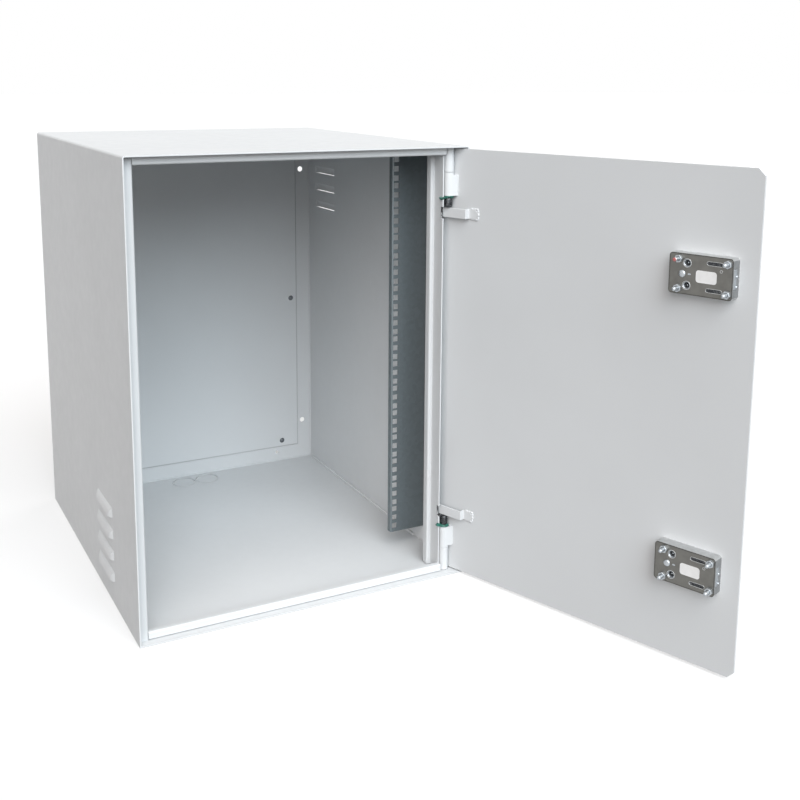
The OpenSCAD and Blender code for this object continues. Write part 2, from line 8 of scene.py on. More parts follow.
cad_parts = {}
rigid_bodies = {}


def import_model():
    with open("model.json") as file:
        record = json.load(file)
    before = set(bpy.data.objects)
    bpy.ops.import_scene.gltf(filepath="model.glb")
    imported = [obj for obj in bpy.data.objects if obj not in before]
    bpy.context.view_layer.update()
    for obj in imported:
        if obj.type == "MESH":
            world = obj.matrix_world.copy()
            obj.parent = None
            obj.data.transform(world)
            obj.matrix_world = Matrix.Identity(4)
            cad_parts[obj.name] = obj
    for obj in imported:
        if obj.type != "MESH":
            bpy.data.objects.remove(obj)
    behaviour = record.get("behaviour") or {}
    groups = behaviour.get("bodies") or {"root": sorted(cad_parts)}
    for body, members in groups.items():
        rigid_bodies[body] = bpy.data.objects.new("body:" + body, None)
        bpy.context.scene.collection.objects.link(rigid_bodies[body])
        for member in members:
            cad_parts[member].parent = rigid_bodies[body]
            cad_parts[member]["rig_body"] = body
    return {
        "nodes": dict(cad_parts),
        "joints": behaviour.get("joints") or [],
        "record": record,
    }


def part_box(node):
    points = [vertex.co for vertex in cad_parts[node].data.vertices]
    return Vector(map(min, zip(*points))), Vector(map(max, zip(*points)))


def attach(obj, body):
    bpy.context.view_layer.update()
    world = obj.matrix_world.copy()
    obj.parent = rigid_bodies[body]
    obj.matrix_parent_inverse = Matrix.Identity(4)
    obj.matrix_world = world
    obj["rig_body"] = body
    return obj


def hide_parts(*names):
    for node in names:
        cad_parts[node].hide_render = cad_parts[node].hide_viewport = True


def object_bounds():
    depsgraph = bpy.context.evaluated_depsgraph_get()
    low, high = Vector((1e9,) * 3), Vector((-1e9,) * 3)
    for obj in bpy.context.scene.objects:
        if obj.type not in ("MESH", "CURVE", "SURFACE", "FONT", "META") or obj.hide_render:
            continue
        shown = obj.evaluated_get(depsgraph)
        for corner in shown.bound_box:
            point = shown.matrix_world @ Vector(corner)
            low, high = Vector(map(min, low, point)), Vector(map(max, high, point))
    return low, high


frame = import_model()
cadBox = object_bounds()

mm = 0.001
nodes = frame["nodes"]
joints = {j["name"]: j for j in frame["joints"]}
slotOf = {part["node"]: part["material_slot"] for part in frame["record"]["subparts"]}
print("frame loaded:", len(nodes), "pieces")


# node and shader helpers

def addNode(tree, kind, inputs=None, **settings):
    node = tree.nodes.new(kind)
    for name, value in settings.items():
        setattr(node, name, value)
    for name, value in (inputs or {}).items():
        node.inputs[name].default_value = value
    return node


def newFinish(name, colour, roughness, metallic=0.0):
    mat = bpy.data.materials.new(name)
    mat.use_nodes = True
    mat.diffuse_color = (*colour, 1)
    tree = mat.node_tree
    shader = tree.nodes["Principled BSDF"]
    shader.inputs["Base Color"].default_value = (*colour, 1)
    shader.inputs["Roughness"].default_value = roughness
    shader.inputs["Metallic"].default_value = metallic
    coords = addNode(tree, "ShaderNodeTexCoord")
    return mat, tree, shader, coords.outputs["Object"]


def noiseAt(tree, coords, scale, detail, stretch=None):
    noise = addNode(tree, "ShaderNodeTexNoise", {"Scale": scale, "Detail": detail})
    if stretch:
        mapping = addNode(tree, "ShaderNodeMapping", {"Scale": stretch})
        tree.links.new(coords, mapping.inputs["Vector"])
        coords = mapping.outputs["Vector"]
    tree.links.new(coords, noise.inputs["Vector"])
    return noise.outputs[0]


def spread(tree, value, low=0.0, high=1.0, fromLow=0.3, fromHigh=0.7):
    # noise keeps mostly between 0.3 and 0.7, and this stretches it over a new range
    ranged = addNode(tree, "ShaderNodeMapRange", {
        "From Min": fromLow, "From Max": fromHigh, "To Min": low, "To Max": high})
    tree.links.new(value, ranged.inputs["Value"])
    return ranged.outputs["Result"]


def mottle(tree, shader, factor, colour, other):
    # the mix node's colours are its inputs 6 and 7 and its output 2
    mix = addNode(tree, "ShaderNodeMix", data_type="RGBA")
    tree.links.new(factor, mix.inputs[0])
    mix.inputs[6].default_value = (*colour, 1)
    mix.inputs[7].default_value = (*other, 1)
    tree.links.new(mix.outputs[2], shader.inputs["Base Color"])


def shade(colour, share):
    return tuple(c * share for c in colour)


def bumpOn(tree, height, distance, below=None):
    bump = addNode(tree, "ShaderNodeBump", {"Strength": 1.0, "Distance": distance})
    tree.links.new(height, bump.inputs["Height"])
    if below is not None:
        tree.links.new(below, bump.inputs["Normal"])
    return bump.outputs["Normal"]


# finishes: a noise is written as scale, detail and, where it is drawn out, its stretch

# light grey powder coat: soft orange peel, a fine grain and slow drifts of tone
coat = {
    # the second, darker colour is painted shade for the shaded groove round the back panel
    "sheet": (0.600, 0.614, 0.622), "grooveShade": (0.44, 0.45, 0.456),
    "drift": (5.0, 2.0), "driftShade": 0.965,
    "sheen": (60.0, 3.0), "roughness": (0.40, 0.52),
    "peel": (420.0, 2.0), "peelDeep": 0.022 * mm,
    "grain": (2600.0, 1.0), "grainDeep": 0.006 * mm,
}


def makeCoat(kind):
    colour = coat[kind]
    mat, tree, shader, coords = newFinish("grey_coat_" + kind, colour, coat["roughness"][0])
    drift = spread(tree, noiseAt(tree, coords, *coat["drift"]))
    mottle(tree, shader, drift, colour, shade(colour, coat["driftShade"]))
    sheen = spread(tree, noiseAt(tree, coords, *coat["sheen"]), *coat["roughness"])
    tree.links.new(sheen, shader.inputs["Roughness"])
    peel = bumpOn(tree, noiseAt(tree, coords, *coat["peel"]), coat["peelDeep"])
    grain = bumpOn(tree, noiseAt(tree, coords, *coat["grain"]), coat["grainDeep"], peel)
    tree.links.new(grain, shader.inputs["Normal"])
    return mat


# zinc: crystals a few millimetres across and rolling marks along Z, bright on fasteners; less metallic on the
# rails and darkened there as painted shade for the dark interior they reflect and the shade under the top
galvanised = {
    "bright": {"colour": (0.47, 0.50, 0.525), "metallic": 0.85},
    # the rail colour is painted shade: zinc darkened for the dark interior it reflects
    "rail": {"colour": (0.160, 0.188, 0.200), "metallic": 0.45},
    "screw": {"colour": (0.15, 0.16, 0.17), "metallic": 0.9},
    "crystals": 150, "crystalShade": 0.90, "roughness": (0.30, 0.42),
    "rolling": (1.0, 2.0, (900.0, 900.0, 14.0)), "rollingDeep": 0.006 * mm,
}


def makeZinc(kind):
    colour = galvanised[kind]["colour"]
    mat, tree, shader, coords = newFinish(
        "zinc_" + kind, colour, galvanised["roughness"][0], galvanised[kind]["metallic"])
    crystal = addNode(tree, "ShaderNodeTexVoronoi", {"Scale": galvanised["crystals"]})
    tree.links.new(coords, crystal.inputs["Vector"])
    split = addNode(tree, "ShaderNodeSeparateColor")
    tree.links.new(crystal.outputs["Color"], split.inputs["Color"])
    facet = split.outputs["Red"]
    mottle(tree, shader, facet, colour, shade(colour, galvanised["crystalShade"]))
    tree.links.new(spread(tree, facet, *galvanised["roughness"], 0, 1), shader.inputs["Roughness"])
    rolling = noiseAt(tree, coords, *galvanised["rolling"])
    tree.links.new(bumpOn(tree, rolling, galvanised["rollingDeep"]), shader.inputs["Normal"])
    return mat


# plated lock case: dull, slightly olive on its face, with fine brushing
lockPlating = {
    "sides": (0.60, 0.61, 0.61), "face": (0.175, 0.172, 0.160), "end": (0.34, 0.35, 0.355),
    # the darkest colour here is painted shade, for the gap round the lock's face
    "gapShade": (0.07, 0.07, 0.066), "metallic": 0.9,
    "cloud": (90.0, 4.0), "cloudShade": 0.84, "roughness": (0.30, 0.46),
    "brush": (1.0, 2.0, (120.0, 120.0, 2400.0)), "brushDeep": 0.008 * mm,
}


def makeLockPlating(kind):
    colour = lockPlating[kind]
    mat, tree, shader, coords = newFinish(
        "lock_zinc_" + kind, colour, lockPlating["roughness"][0], lockPlating["metallic"])
    cloud = noiseAt(tree, coords, *lockPlating["cloud"])
    mottle(tree, shader, spread(tree, cloud), colour, shade(colour, lockPlating["cloudShade"]))
    tree.links.new(spread(tree, cloud, *lockPlating["roughness"]), shader.inputs["Roughness"])
    brush = noiseAt(tree, coords, *lockPlating["brush"])
    tree.links.new(bumpOn(tree, brush, lockPlating["brushDeep"]), shader.inputs["Normal"])
    return mat


# blackened hinge pins with an oily gloss
pinSteel = {
    "colour": (0.045, 0.048, 0.052), "worn": (0.16, 0.165, 0.17), "metallic": 0.8,
    "wear": (260.0, 4.0), "wornRange": (0.5, 0.8), "roughness": (0.22, 0.40),
}


def makePinSteel():
    mat, tree, shader, coords = newFinish(
        "dark_steel_oiled", pinSteel["colour"], pinSteel["roughness"][0], pinSteel["metallic"])
    wear = noiseAt(tree, coords, *pinSteel["wear"])
    bare = spread(tree, wear, 0, 1, *pinSteel["wornRange"])
    mottle(tree, shader, bare, pinSteel["colour"], pinSteel["worn"])
    tree.links.new(spread(tree, wear, *pinSteel["roughness"]), shader.inputs["Roughness"])
    return mat


# moulded collar in green plastic
collarPlastic = {
    "colour": (0.006, 0.062, 0.046), "pale": (0.02, 0.14, 0.105),
    "cloud": (180.0, 3.0), "roughness": (0.28, 0.42), "tooth": (1500.0, 2.0), "toothDeep": 0.02 * mm,
}


def makeCollarPlastic():
    mat, tree, shader, coords = newFinish(
        "green_plastic_moulded", collarPlastic["colour"], collarPlastic["roughness"][0])
    cloud = noiseAt(tree, coords, *collarPlastic["cloud"])
    mottle(tree, shader, spread(tree, cloud), collarPlastic["colour"], collarPlastic["pale"])
    tree.links.new(spread(tree, cloud, *collarPlastic["roughness"]), shader.inputs["Roughness"])
    tooth = noiseAt(tree, coords, *collarPlastic["tooth"])
    tree.links.new(bumpOn(tree, tooth, collarPlastic["toothDeep"]), shader.inputs["Normal"])
    return mat


# bare white sticker with a faint paper tooth
sticker = {
    "colour": (0.83, 0.83, 0.825), "roughness": 0.5, "cloud": (140.0, 3.0), "cloudShade": 0.93,
    "tooth": (3000.0, 1.0), "toothDeep": 0.01 * mm,
}


def makeSticker():
    mat, tree, shader, coords = newFinish("label_white", sticker["colour"], sticker["roughness"])
    cloud = spread(tree, noiseAt(tree, coords, *sticker["cloud"]))
    mottle(tree, shader, cloud, sticker["colour"], shade(sticker["colour"], sticker["cloudShade"]))
    tooth = noiseAt(tree, coords, *sticker["tooth"])
    tree.links.new(bumpOn(tree, tooth, sticker["toothDeep"]), shader.inputs["Normal"])
    return mat


# red lacquer that seals one stud
lacquer = {
    "colour": (0.40, 0.085, 0.085), "pale": (0.52, 0.20, 0.19), "roughness": 0.35, "cloud": (700.0, 2.0),
}


def makeLacquer():
    mat, tree, shader, coords = newFinish("lacquer_red", lacquer["colour"], lacquer["roughness"])
    cloud = spread(tree, noiseAt(tree, coords, *lacquer["cloud"]))
    mottle(tree, shader, cloud, lacquer["colour"], lacquer["pale"])
    return mat


coatSheet = makeCoat("sheet")
# a darker coat that paints shade into the back panel's groove
coatGrooveShade = makeCoat("grooveShade")
finishes = {
    "grey_coat": coatSheet,
    "zinc": makeZinc("bright"),
    "lock_zinc": makeLockPlating("sides"),
    "dark_steel": makePinSteel(),
    "green_plastic": makeCollarPlastic(),
}
railZincShaded = makeZinc("rail")
screwZinc = makeZinc("screw")
lockFace = makeLockPlating("face")
lockEnd = makeLockPlating("end")
lockGapShade = makeLockPlating("gapShade")
labelWhite = makeSticker()
lacquerRed = makeLacquer()
ownFinish = {"left_rail": railZincShaded, "right_rail": railZincShaded, "back_panel_screws": screwZinc}
print("finishes made:", len(bpy.data.materials))


# mesh helpers

tolerance = {"copy": 0.002 * mm, "same": 0.001 * mm, "level": 0.2 * mm, "flatAngle": 0.4}
facing = 0.9  # a face looks along an axis when its normal has this share of it


def keepPiece(name, bm, body, materials):
    mesh = bpy.data.meshes.new(name)
    bm.to_mesh(mesh)
    bm.free()
    for mat in materials:
        mesh.materials.append(mat)
    mesh.polygons.foreach_set("use_smooth", [True] * len(mesh.polygons))
    piece = bpy.data.objects.new(name, mesh)
    bpy.context.scene.collection.objects.link(piece)
    piece.modifiers.new("even shading", "WEIGHTED_NORMAL").keep_sharp = True
    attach(piece, body)
    return piece


def softenEdges(bm, width, sharp=30):
    # breaks every edge that turns by more than sharp degrees
    rims = [e for e in bm.edges if len(e.link_faces) == 2 and e.calc_face_angle(0) > math.radians(sharp)]
    if rims:
        bmesh.ops.bevel(bm, geom=rims, offset=width, offset_type="OFFSET", segments=2, profile=0.5,
                        affect="EDGES", clamp_overlap=True, material=-1)


def copyOf(node):
    bm = bmesh.new()
    bm.from_mesh(nodes[node].data)
    bmesh.ops.remove_doubles(bm, verts=bm.verts, dist=tolerance["copy"])
    flat = math.radians(tolerance["flatAngle"])
    bmesh.ops.dissolve_limit(bm, angle_limit=flat, use_dissolve_boundaries=False, verts=bm.verts,
                             edges=bm.edges, delimit=set())
    for face in bm.faces:
        face.material_index = 0
    return bm


def pullFaces(bm, faces, way):
    pulled = bmesh.ops.extrude_face_region(bm, geom=faces)
    verts = [v for v in pulled["geom"] if isinstance(v, bmesh.types.BMVert)]
    bmesh.ops.translate(bm, vec=way, verts=verts)


def turned(profile, steps=32):
    # spins (radius, height) points about Z into a closed solid
    bm = bmesh.new()
    verts = [bm.verts.new((r, 0, z)) for r, z in profile]
    for a, b in zip(verts, verts[1:]):
        bm.edges.new((a, b))
    bmesh.ops.spin(bm, geom=bm.verts[:] + bm.edges[:], cent=(0, 0, 0), axis=(0, 0, 1), angle=2 * math.pi,
                   steps=steps, use_merge=True)
    bmesh.ops.remove_doubles(bm, verts=bm.verts, dist=tolerance["same"])
    bmesh.ops.recalc_face_normals(bm, faces=bm.faces)
    return bm


def addCopies(bm, shape, places):
    # shape is a bmesh, which is used up
    mesh = bpy.data.meshes.new("shape")
    shape.to_mesh(mesh)
    shape.free()
    for place in places:
        bm.verts.ensure_lookup_table()
        before = len(bm.verts)
        bm.from_mesh(mesh)
        bm.verts.ensure_lookup_table()
        bmesh.ops.transform(bm, matrix=place, verts=bm.verts[before:])
    bpy.data.meshes.remove(mesh)


def placeAlong(point, direction, spin=0.0):
    # a matrix that stands a shape made along Z at a point, along a direction
    turn = Vector(direction).to_track_quat("Z", "Y").to_matrix().to_4x4()
    return Matrix.Translation(Vector(point)) @ turn @ Matrix.Rotation(spin, 4, "Z")


# the door as it stands: x out of its inner face, y along it from the hinge axis, z up
hinge = Vector(joints["door_swing"]["pos_m"])
hingePlace = Matrix.Translation(hinge)
upward = Vector((0, 0, 1))
alongDoor = Vector(joints["upper_bolt_throw"]["axis"]).normalized()
outOfDoor = alongDoor.cross(upward)
doorPlace = Matrix((outOfDoor, alongDoor, upward)).transposed().to_4x4()
doorPlace.translation = hinge


def boxIn(node, place):
    back = place.inverted()
    points = [back @ v.co for v in nodes[node].data.vertices]
    low = Vector(min(p[i] for p in points) for i in range(3))
    high = Vector(max(p[i] for p in points) for i in range(3))
    return low, high


# sheets, rails, knuckles, keepers and bolts: the solids with their edges broken by so many millimetres
sheetEdges = {
    "wrapper": 0.45, "floor_sheet": 0.45, "left_stop": 0.4, "top_stop": 0.4, "sill_stop": 0.4,
    "hinge_jamb": 0.4, "door_leaf": 0.6, "left_rail": 0.3, "right_rail": 0.3,
    "upper_frame_knuckle": 0.7, "lower_frame_knuckle": 0.7,
    "upper_door_knuckle": 0.7, "lower_door_knuckle": 0.7,
    "upper_pin_keeper": 0.7, "lower_pin_keeper": 0.7,
    "upper_lock_bolt": 0.8, "lower_lock_bolt": 0.8,
}
# joints that show as a thin dark line: the end of the sheet that is drawn back, and how far
seams = {
    "sill_stop": ("low", 1.6 * mm), "top_stop": ("high", 1.2 * mm), "left_stop": ("high", 0.8 * mm),
    "hinge_jamb": ("low", 0.9 * mm),
    "lower_frame_knuckle": ("low", 0.9 * mm), "upper_frame_knuckle": ("high", 0.9 * mm),
}
# the jamb's fin: how far it grows forward, and the room above and below the pin keepers
finShape = {"reach": 5.8 * mm, "room": 1.5 * mm}


def openSeam(bm, end, gap):
    # draws the low or the high end of a sheet back
    edge = min(v.co.z for v in bm.verts) if end == "low" else max(v.co.z for v in bm.verts)
    for v in bm.verts:
        if abs(v.co.z - edge) < tolerance["level"]:
            v.co.z += gap if end == "low" else -gap


def lengthenFin(bm):
    # the fin grows forward, but not where the pin keepers swing in
    notches = [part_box(end + "_pin_keeper") for end in ("lower", "upper")]
    cuts = [z for low, high in notches for z in (low.z - finShape["room"], high.z + finShape["room"])]
    for z in cuts:
        bmesh.ops.bisect_plane(bm, geom=bm.verts[:] + bm.edges[:] + bm.faces[:], plane_co=(0, 0, z),
                               plane_no=(0, 0, 1))
    tip = min(v.co.y for v in bm.verts)
    edges = [f for f in bm.faces
             if f.normal.y < -facing and abs(f.calc_center_median().y - tip) < tolerance["level"]]
    for face in edges:
        z = face.calc_center_median().z
        if not any(low.z < z < high.z for low, high in notches):
            pullFaces(bm, [face], (0, -finShape["reach"], 0))


def dressNode(node, edge):
    bm = copyOf(node)
    if node in seams:
        openSeam(bm, *seams[node])
    if node == "hinge_jamb":
        lengthenFin(bm)
    softenEdges(bm, edge)
    finish = ownFinish.get(node, finishes[slotOf[node]])
    piece = keepPiece(node + "_dressed", bm, nodes[node]["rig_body"], [finish])
    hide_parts(node)


for node, edge in sheetEdges.items():
    dressNode(node, edge * mm)
print("sheets dressed:", len(sheetEdges))


# back panel: a plain sheet with a groove round its rim, whose walls and floor carry a darker coat as painted
# shade
panelShape = {"edge": 0.5 * mm, "rim": 0.8 * mm, "wall": 0.2 * mm, "line": 1.6 * mm, "deep": 1.8 * mm}


def makePanel():
    low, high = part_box("back_panel")
    bm = bmesh.new()
    bmesh.ops.create_cube(bm, size=1.0)
    bmesh.ops.scale(bm, vec=high - low, verts=bm.verts)
    bmesh.ops.translate(bm, vec=(low + high) / 2, verts=bm.verts)
    softenEdges(bm, panelShape["edge"])
    front = [max((f for f in bm.faces if f.normal.y < -facing), key=lambda f: f.calc_area())]
    wall, deep = panelShape["wall"], panelShape["deep"]
    bmesh.ops.inset_region(bm, faces=front, thickness=panelShape["rim"], use_even_offset=True)
    # the groove's walls and floor take the second, darker coat: painted shade
    for thickness, depth in ((wall, -deep), (panelShape["line"], 0), (wall, deep)):
        ring = bmesh.ops.inset_region(bm, faces=front, thickness=thickness, depth=depth, use_even_offset=True)
        for face in ring["faces"]:
            face.material_index = 1
    body = nodes["back_panel"]["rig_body"]
    piece = keepPiece("back_panel_dressed", bm, body, [coatSheet, coatGrooveShade])
    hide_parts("back_panel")


makePanel()
print("back panel made")


# hinge pins: a turned shank and a straight head with a rounded end
pinShape = {
    "shankTip": 1.0 * mm, "shankShare": 0.55,  # a shank is wider than this share of its head
    "round": 3.0 * mm, "tipR": 4.5 * mm, "arc": 5, "centre": 1.2 * mm, "steps": 40,
}


def shankRadius(node):
    distances = sorted({round((Vector(v.co) - hinge).xy.length, 6) for v in nodes[node].data.vertices})
    return min(d for d in distances if d > pinShape["shankShare"] * distances[-1])


def makePin(end, up):
    node = end + "_hinge_pin"
    low, high = boxIn(node, hingePlace)
    collarLow, collarHigh = boxIn(end + "_pin_collar", hingePlace)
    headR, shankR = high.x, shankRadius(node)
    start, stop, neck = (low.z, high.z, collarHigh.z) if up else (high.z, low.z, collarLow.z)
    base, tall = abs(neck - start), abs(stop - start)
    taper, tip, rise = pinShape["shankTip"], pinShape["tipR"], pinShape["round"]
    points = [(0, 0), (shankR - taper, 0), (shankR, taper), (shankR, base), (headR, base)]
    for i in range(pinShape["arc"] + 1):
        a = math.pi / 2 * i / pinShape["arc"]
        points.append((tip + (headR - tip) * math.cos(a), tall - rise + rise * math.sin(a)))
    points += [(pinShape["centre"], tall), (0, tall - pinShape["centre"])]
    bm = turned(points, pinShape["steps"])
    place = placeAlong((hinge.x, hinge.y, start), (0, 0, 1 if up else -1))
    bmesh.ops.transform(bm, matrix=place, verts=bm.verts)
    piece = keepPiece(node + "_turned", bm, nodes[node]["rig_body"], [finishes["dark_steel"]])
    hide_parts(node)


# green collars: a flared ring with prongs that grip the pin
collarShape = {
    "lip": [(0.6 * mm, 0.0), (0.0, 0.5 * mm), (0.2 * mm, 1.3 * mm)],  # in from the rim, height
    "flare": [(1.7 * mm, 0.62), (2.2 * mm, 1.0)],  # in from the rim, share of the height
    "prongs": 6, "prongWide": 2.2 * mm, "prongLong": 2.6 * mm, "prongIn": 1.9 * mm,
    "prongTall": 0.45, "prongUp": 0.72,  # shares of the height
    "edge": 0.3 * mm, "turn": 0.3, "steps": 40,
}


def makeCollar(end, up):
    node = end + "_pin_collar"
    low, high = boxIn(node, hingePlace)
    bore = min((Vector(v.co) - hinge).xy.length for v in nodes[node].data.vertices)
    rim, tall = high.x, high.z - low.z
    points = [(bore, 0)]
    points += [(rim - inward, height) for inward, height in collarShape["lip"]]
    points += [(rim - inward, tall * share) for inward, share in collarShape["flare"]]
    points += [(bore, tall), (bore, 0)]
    bm = turned(points, collarShape["steps"])

    prong = bmesh.new()
    bmesh.ops.create_cube(prong, size=1.0)
    size = (collarShape["prongLong"], collarShape["prongWide"], tall * collarShape["prongTall"])
    bmesh.ops.scale(prong, vec=size, verts=prong.verts)
    softenEdges(prong, collarShape["edge"])
    spot = Matrix.Translation((rim - collarShape["prongIn"], 0, tall * collarShape["prongUp"]))
    count = collarShape["prongs"]
    addCopies(bm, prong, [Matrix.Rotation(math.tau * i / count, 4, "Z") @ spot for i in range(count)])

    foot = (hinge.x, hinge.y, low.z if up else high.z)
    place = placeAlong(foot, (0, 0, 1 if up else -1), collarShape["turn"])
    bmesh.ops.transform(bm, matrix=place, verts=bm.verts)
    body = nodes[node]["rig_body"]
    piece = keepPiece(node + "_moulded", bm, body, [finishes["green_plastic"]])
    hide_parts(node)


for end, up in (("lower", True), ("upper", False)):
    makePin(end, up)
    makeCollar(end, up)
print("hinge pins and collars turned")


# shapes for the locks, drawn in X and Y and raised along Z

dome = [(1.0, 0.0), (1.0, 0.35), (0.86, 0.75), (0.6, 1.0), (0.0, 1.0)]  # shares of the radius and the height
curveSteps = {"dome": 24, "slot": 32, "corner": 6, "nutBore": 24, "post": 20}


def domed(radius, tall):
    return turned([(radius * out, tall * up) for out, up in dome], curveSteps["dome"])


def flatRing(outer, wide, tall, steps=32):
    # both sides slope, each over a quarter of the ring
    slope = wide / 4
    inner = outer - wide
    return turned([(inner, 0), (outer, 0), (outer - slope, tall), (inner + slope, tall), (inner, 0)], steps)


def slotRim(length, width, wide, tall):
    # a thin raised line round a round-ended slot
    bm = bmesh.new()
    bmesh.ops.create_circle(bm, cap_ends=True, radius=width / 2 + wide, segments=curveSteps["slot"])
    for v in bm.verts:
        if abs(v.co.x) > tolerance["same"]:
            v.co.x += math.copysign((length - width) / 2, v.co.x)
    bmesh.ops.inset_region(bm, faces=bm.faces[:], thickness=wide, use_even_offset=True, use_boundary=True)
    inner = max(bm.faces, key=lambda f: len(f.verts))
    bmesh.ops.delete(bm, geom=[inner], context="FACES_ONLY")
    pullFaces(bm, bm.faces[:], (0, 0, tall))
    bmesh.ops.recalc_face_normals(bm, faces=bm.faces)
    return bm


def roundPlate(low, high, radius, thick):
    # a plate with round corners
    bm = bmesh.new()
    bmesh.ops.create_grid(bm, x_segments=1, y_segments=1, size=0.5)
    low, high = Vector((*low, 0)), Vector((*high, 0))
    bmesh.ops.scale(bm, vec=high - low, verts=bm.verts)
    bmesh.ops.translate(bm, vec=(low + high) / 2, verts=bm.verts)
    bmesh.ops.bevel(bm, geom=bm.verts[:], offset=radius, offset_type="OFFSET", segments=curveSteps["corner"],
                    profile=0.5, affect="VERTICES", clamp_overlap=True, material=-1)
    pullFaces(bm, bm.faces[:], (0, 0, thick))
    bmesh.ops.recalc_face_normals(bm, faces=bm.faces)
    return bm


def middlePlate(length, width, radius, thick):
    return roundPlate((-length / 2, -width / 2), (length / 2, width / 2), radius, thick)


def rimFrame(low, high, radius, wide, tall):
    # a flat frame with round corners
    bm = roundPlate(low, high, radius, tall)
    flats = [f for f in bm.faces if f.normal.z > facing] + [f for f in bm.faces if f.normal.z < -facing]
    for face in flats:
        bmesh.ops.inset_region(bm, faces=[face], thickness=wide, use_even_offset=True)
    loops = [e for f in flats for e in f.edges]
    bmesh.ops.delete(bm, geom=flats, context="FACES_ONLY")
    bmesh.ops.bridge_loops(bm, edges=loops)
    bmesh.ops.recalc_face_normals(bm, faces=bm.faces)
    return bm


# a lock's own frame: X along the door from the case's hinge end, Y up from its middle, Z out of its face

def lockFrame(end):
    low, high = boxIn(end + "_lock_case", doorPlace)
    place = Matrix((alongDoor, upward, outOfDoor)).transposed().to_4x4()
    place.translation = doorPlace @ Vector((high.x, low.y, (low.z + high.z) / 2))
    deep, long, tall = high - low
    return place, {"deep": deep, "long": long, "tall": tall}


def onFace(place, x, y, z=0.0):
    return place @ Matrix.Translation((x, y, z))


# lock case: plated sides, an olive face and a darker free end
caseShape = {"edge": 0.5 * mm, "sharp": 35, "skin": 0.5 * mm}


def makeCase(end):
    node = end + "_lock_case"
    place, case = lockFrame(end)
    back = place.inverted()
    bm = copyOf(node)
    for face in bm.faces:
        middle = back @ face.calc_center_median()
        if face.normal.dot(outOfDoor) > facing and middle.z > -caseShape["skin"]:
            face.material_index = 1
        elif face.normal.dot(alongDoor) > facing and middle.x > case["long"] - caseShape["skin"]:
            face.material_index = 2
    softenEdges(bm, caseShape["edge"], sharp=caseShape["sharp"])
    platings = [finishes["lock_zinc"], lockFace, lockEnd]
    piece = keepPiece(node + "_plated", bm, "door", platings)
    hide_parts(node)


# lock studs: a thread whose root and crest are shares of its pitch, and a tapered tip
studShape = {
    "fromHinge": 15 * mm, "fromFree": 7 * mm, "up": 20.5 * mm, "out": 14 * mm, "radius": 3 * mm,
    "pitch": 1.0 * mm, "deep": 0.45 * mm, "root": 0.1, "crest": (0.45, 0.6),
    "plain": 0.8 * mm, "tipDeep": 1.6, "steps": 28,
}


def studSpots(long):
    up = studShape["up"]
    return [(x, y) for x in (studShape["fromHinge"], long - studShape["fromFree"]) for y in (-up, up)]


def threadedStud(length):
    r, deep, pitch = studShape["radius"], studShape["deep"], studShape["pitch"]
    turns = int((length - studShape["plain"]) / pitch)
    points = [(0, 0), (r - deep, 0)]
    for i in range(turns):
        points.append((r - deep, pitch * (i + studShape["root"])))
        points += [(r, pitch * (i + share)) for share in studShape["crest"]]
    points += [(r - deep, pitch * turns), (r - deep * studShape["tipDeep"], length), (0, length)]
    return turned(points, studShape["steps"])


def makeStuds(end):
    place, case = lockFrame(end)
    bm = bmesh.new()
    stud = threadedStud(case["deep"] + studShape["out"])
    addCopies(bm, stud, [onFace(place, x, y, -case["deep"]) for x, y in studSpots(case["long"])])
    piece = keepPiece(end + "_lock_studs_threaded", bm, "door", [finishes["zinc"]])
    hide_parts(end + "_lock_studs")


# lock nuts, each turned a little further than the one before
nutShape = {"flats": 10 * mm, "tall": 5 * mm, "room": 0.1 * mm, "edge": 0.5 * mm, "sharp": 35, "turn": 0.7}


def hexNut():
    bm = bmesh.new()
    across = nutShape["flats"] / math.cos(math.radians(30))
    bmesh.ops.create_circle(bm, cap_ends=False, radius=across / 2, segments=6)
    outside = bm.edges[:]
    bore = studShape["radius"] + nutShape["room"]
    inner = bmesh.ops.create_circle(bm, cap_ends=False, radius=bore, segments=curveSteps["nutBore"])
    inside = list({e for v in inner["verts"] for e in v.link_edges})
    bmesh.ops.bridge_loops(bm, edges=outside + inside)
    pullFaces(bm, bm.faces[:], (0, 0, nutShape["tall"]))
    bmesh.ops.recalc_face_normals(bm, faces=bm.faces)
    softenEdges(bm, nutShape["edge"], sharp=nutShape["sharp"])
    return bm


def makeNuts(end):
    place, case = lockFrame(end)
    bm = bmesh.new()
    addCopies(bm, hexNut(), [onFace(place, x, y) @ Matrix.Rotation(nutShape["turn"] * i, 4, "Z")
                             for i, (x, y) in enumerate(studSpots(case["long"]))])
    piece = keepPiece(end + "_lock_nuts_hex", bm, "door", [finishes["zinc"]])
    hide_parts(end + "_lock_nuts")


# openings in the lock's face, a pair of each above and below its middle, and the one dimple
lockHoles = {
    "service": (27 * mm, 15.5 * mm, 5.5 * mm),  # x, y, radius
    "slot": (26.5 * mm, 18.5 * mm, 23 * mm, 5 * mm),  # x from the free end, y, length, width
    "dimple": (77 * mm, 9.5 * mm, 2.2 * mm),  # x, y, radius
}

# raised rims round those openings
rimShape = {
    "wide": 0.9 * mm, "tall": 0.35 * mm, "slotWide": 0.5 * mm, "dimpleWide": 0.8 * mm, "dimpleTall": 0.3 * mm,
}


